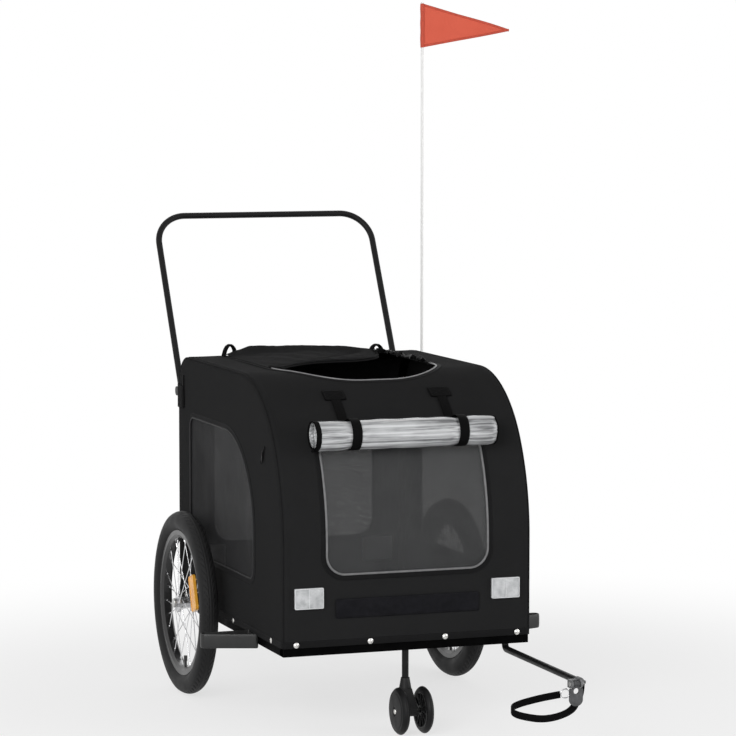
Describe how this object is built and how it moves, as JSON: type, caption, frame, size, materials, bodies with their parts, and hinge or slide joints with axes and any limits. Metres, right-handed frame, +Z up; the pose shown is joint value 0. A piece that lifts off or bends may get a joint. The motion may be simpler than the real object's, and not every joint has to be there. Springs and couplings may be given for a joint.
{
  "type": "pet bike trailer",
  "caption": "Two-wheeled pet trailer with a fabric cabin, mesh windows, roof hatch, tow arm, front caster, push handle and safety flag.",
  "frame": {"origin": "bottom centre of the box round the whole trailer at rest, on the ground, the safety strap apart", "axes": "+Z up, -Y forward along the tow arm, +X to the trailer's left side, where the flag and the tow arm are"},
  "size_m": [0.8806, 1.3746, 1.511],
  "materials": {
    "frame_steel": "black powder coat, satin",
    "cover_fabric": "woven polyester",
    "window_mesh": "open polyester mesh",
    "floor_pad": "padded polyester",
    "webbing": "ribbed webbing",
    "clear_vinyl": "rolled clear vinyl, glossy",
    "hook_loop": "hook-and-loop strip",
    "white_reflector": "moulded clear prisms",
    "amber_reflector": "moulded amber prisms",
    "snap_metal": "nickel plate",
    "axle_steel": "zinc plate",
    "guard_plastic": "moulded, satin",
    "black_plastic": "moulded, matt",
    "caster_rubber": "moulded, satin",
    "cast_metal": "cast, tumbled",
    "pole_fibre": "glass-fibre rod, white",
    "flag_cloth": "coated polyester",
    "tyre": "moulded tread",
    "rim_black": "anodised, satin",
    "hub_metal": "satin",
    "spoke_steel": "drawn wire"
  },
  "bodies": {
    "chassis": {"axle_cross_tube": "frame_steel", "caster_post": "frame_steel", "flag_pennant": "flag_cloth", "flag_pole": "pole_fibre", "flag_socket": "black_plastic", "floor_panel": "floor_pad", "frame_front_tube": "frame_steel", "frame_left_rail": "frame_steel", "frame_rear_tube": "frame_steel", "frame_right_rail": "frame_steel", "front_reflectors": "white_reflector", "front_roof_panel": "cover_fabric", "front_window_mesh": "window_mesh", "handle_brackets": "frame_steel", "handle_knobs": "black_plastic", "hatch_flap_loops": "webbing", "hatch_flap_roll": "cover_fabric", "hem_snaps": "snap_metal", "hook_strip": "hook_loop", "left_axle": "axle_steel", "left_axle_bracket": "frame_steel", "left_hoop": "frame_steel", "left_side_panel": "cover_fabric", "left_wheel_guard": "guard_plastic", "left_window_mesh": "window_mesh", "middle_cross_tube": "frame_steel", "rain_cover_roll": "clear_vinyl", "rain_cover_straps": "webbing", "rear_panel": "cover_fabric", "rear_reflectors": "white_reflector", "rear_window_mesh": "window_mesh", "right_axle": "axle_steel", "right_axle_bracket": "frame_steel", "right_hoop": "frame_steel", "right_side_panel": "cover_fabric", "right_wheel_guard": "guard_plastic", "right_window_mesh": "window_mesh", "roof_cross_tubes": "frame_steel"},
    "left_wheel": {"left_tyre": "tyre", "left_rim": "rim_black", "left_hub": "hub_metal", "left_spokes": "spoke_steel", "left_wheel_reflector": "amber_reflector"},
    "right_wheel": {"right_tyre": "tyre", "right_rim": "rim_black", "right_hub": "hub_metal", "right_spokes": "spoke_steel", "right_wheel_reflector": "amber_reflector"},
    "caster_swivel": {"caster_fork": "black_plastic"},
    "caster_twin_wheels": {"caster_wheels": "caster_rubber"},
    "drawbar": {"tow_arm": "frame_steel", "coupler": "cast_metal", "hitch_pin": "axle_steel", "safety_strap": "webbing", "strap_ring": "axle_steel"},
    "hitch": {"hitch_plate": "cast_metal"},
    "handle": {"push_handle": "frame_steel"}
  },
  "joints": [
    {"name": "left_wheel_spin", "type": "hinge", "parent": "chassis", "child": "left_wheel", "pos_m": [0.25215, 0.26915, 0.2], "axis": [1, 0, 0], "continuous": true},
    {"name": "right_wheel_spin", "type": "hinge", "parent": "chassis", "child": "right_wheel", "pos_m": [-0.37065, 0.26915, 0.2], "axis": [1, 0, 0], "continuous": true},
    {"name": "caster_turn", "type": "hinge", "parent": "chassis", "child": "caster_swivel", "pos_m": [-0.05925, -0.27735, 0.1122], "axis": [0, 0, 1], "continuous": true},
    {"name": "caster_wheel_spin", "type": "hinge", "parent": "caster_swivel", "child": "caster_twin_wheels", "pos_m": [-0.05925, -0.31435, 0.0486], "axis": [1, 0, 0], "continuous": true},
    {"name": "drawbar_swing", "type": "hinge", "parent": "chassis", "child": "drawbar", "pos_m": [0.16275, -0.27735, 0.158], "axis": [0, 0, 1], "range_deg": [-80, 0]},
    {"name": "hitch_tilt", "type": "hinge", "parent": "drawbar", "child": "hitch", "pos_m": [0.15075, -0.67935, 0.156], "axis": [1, 0, 0], "range_deg": [-90, 0]},
    {"name": "handle_fold", "type": "hinge", "parent": "chassis", "child": "handle", "pos_m": [-0.05925, 0.46915, 0.645], "axis": [1, 0, 0], "range_deg": [-151, 0]}
  ]
}
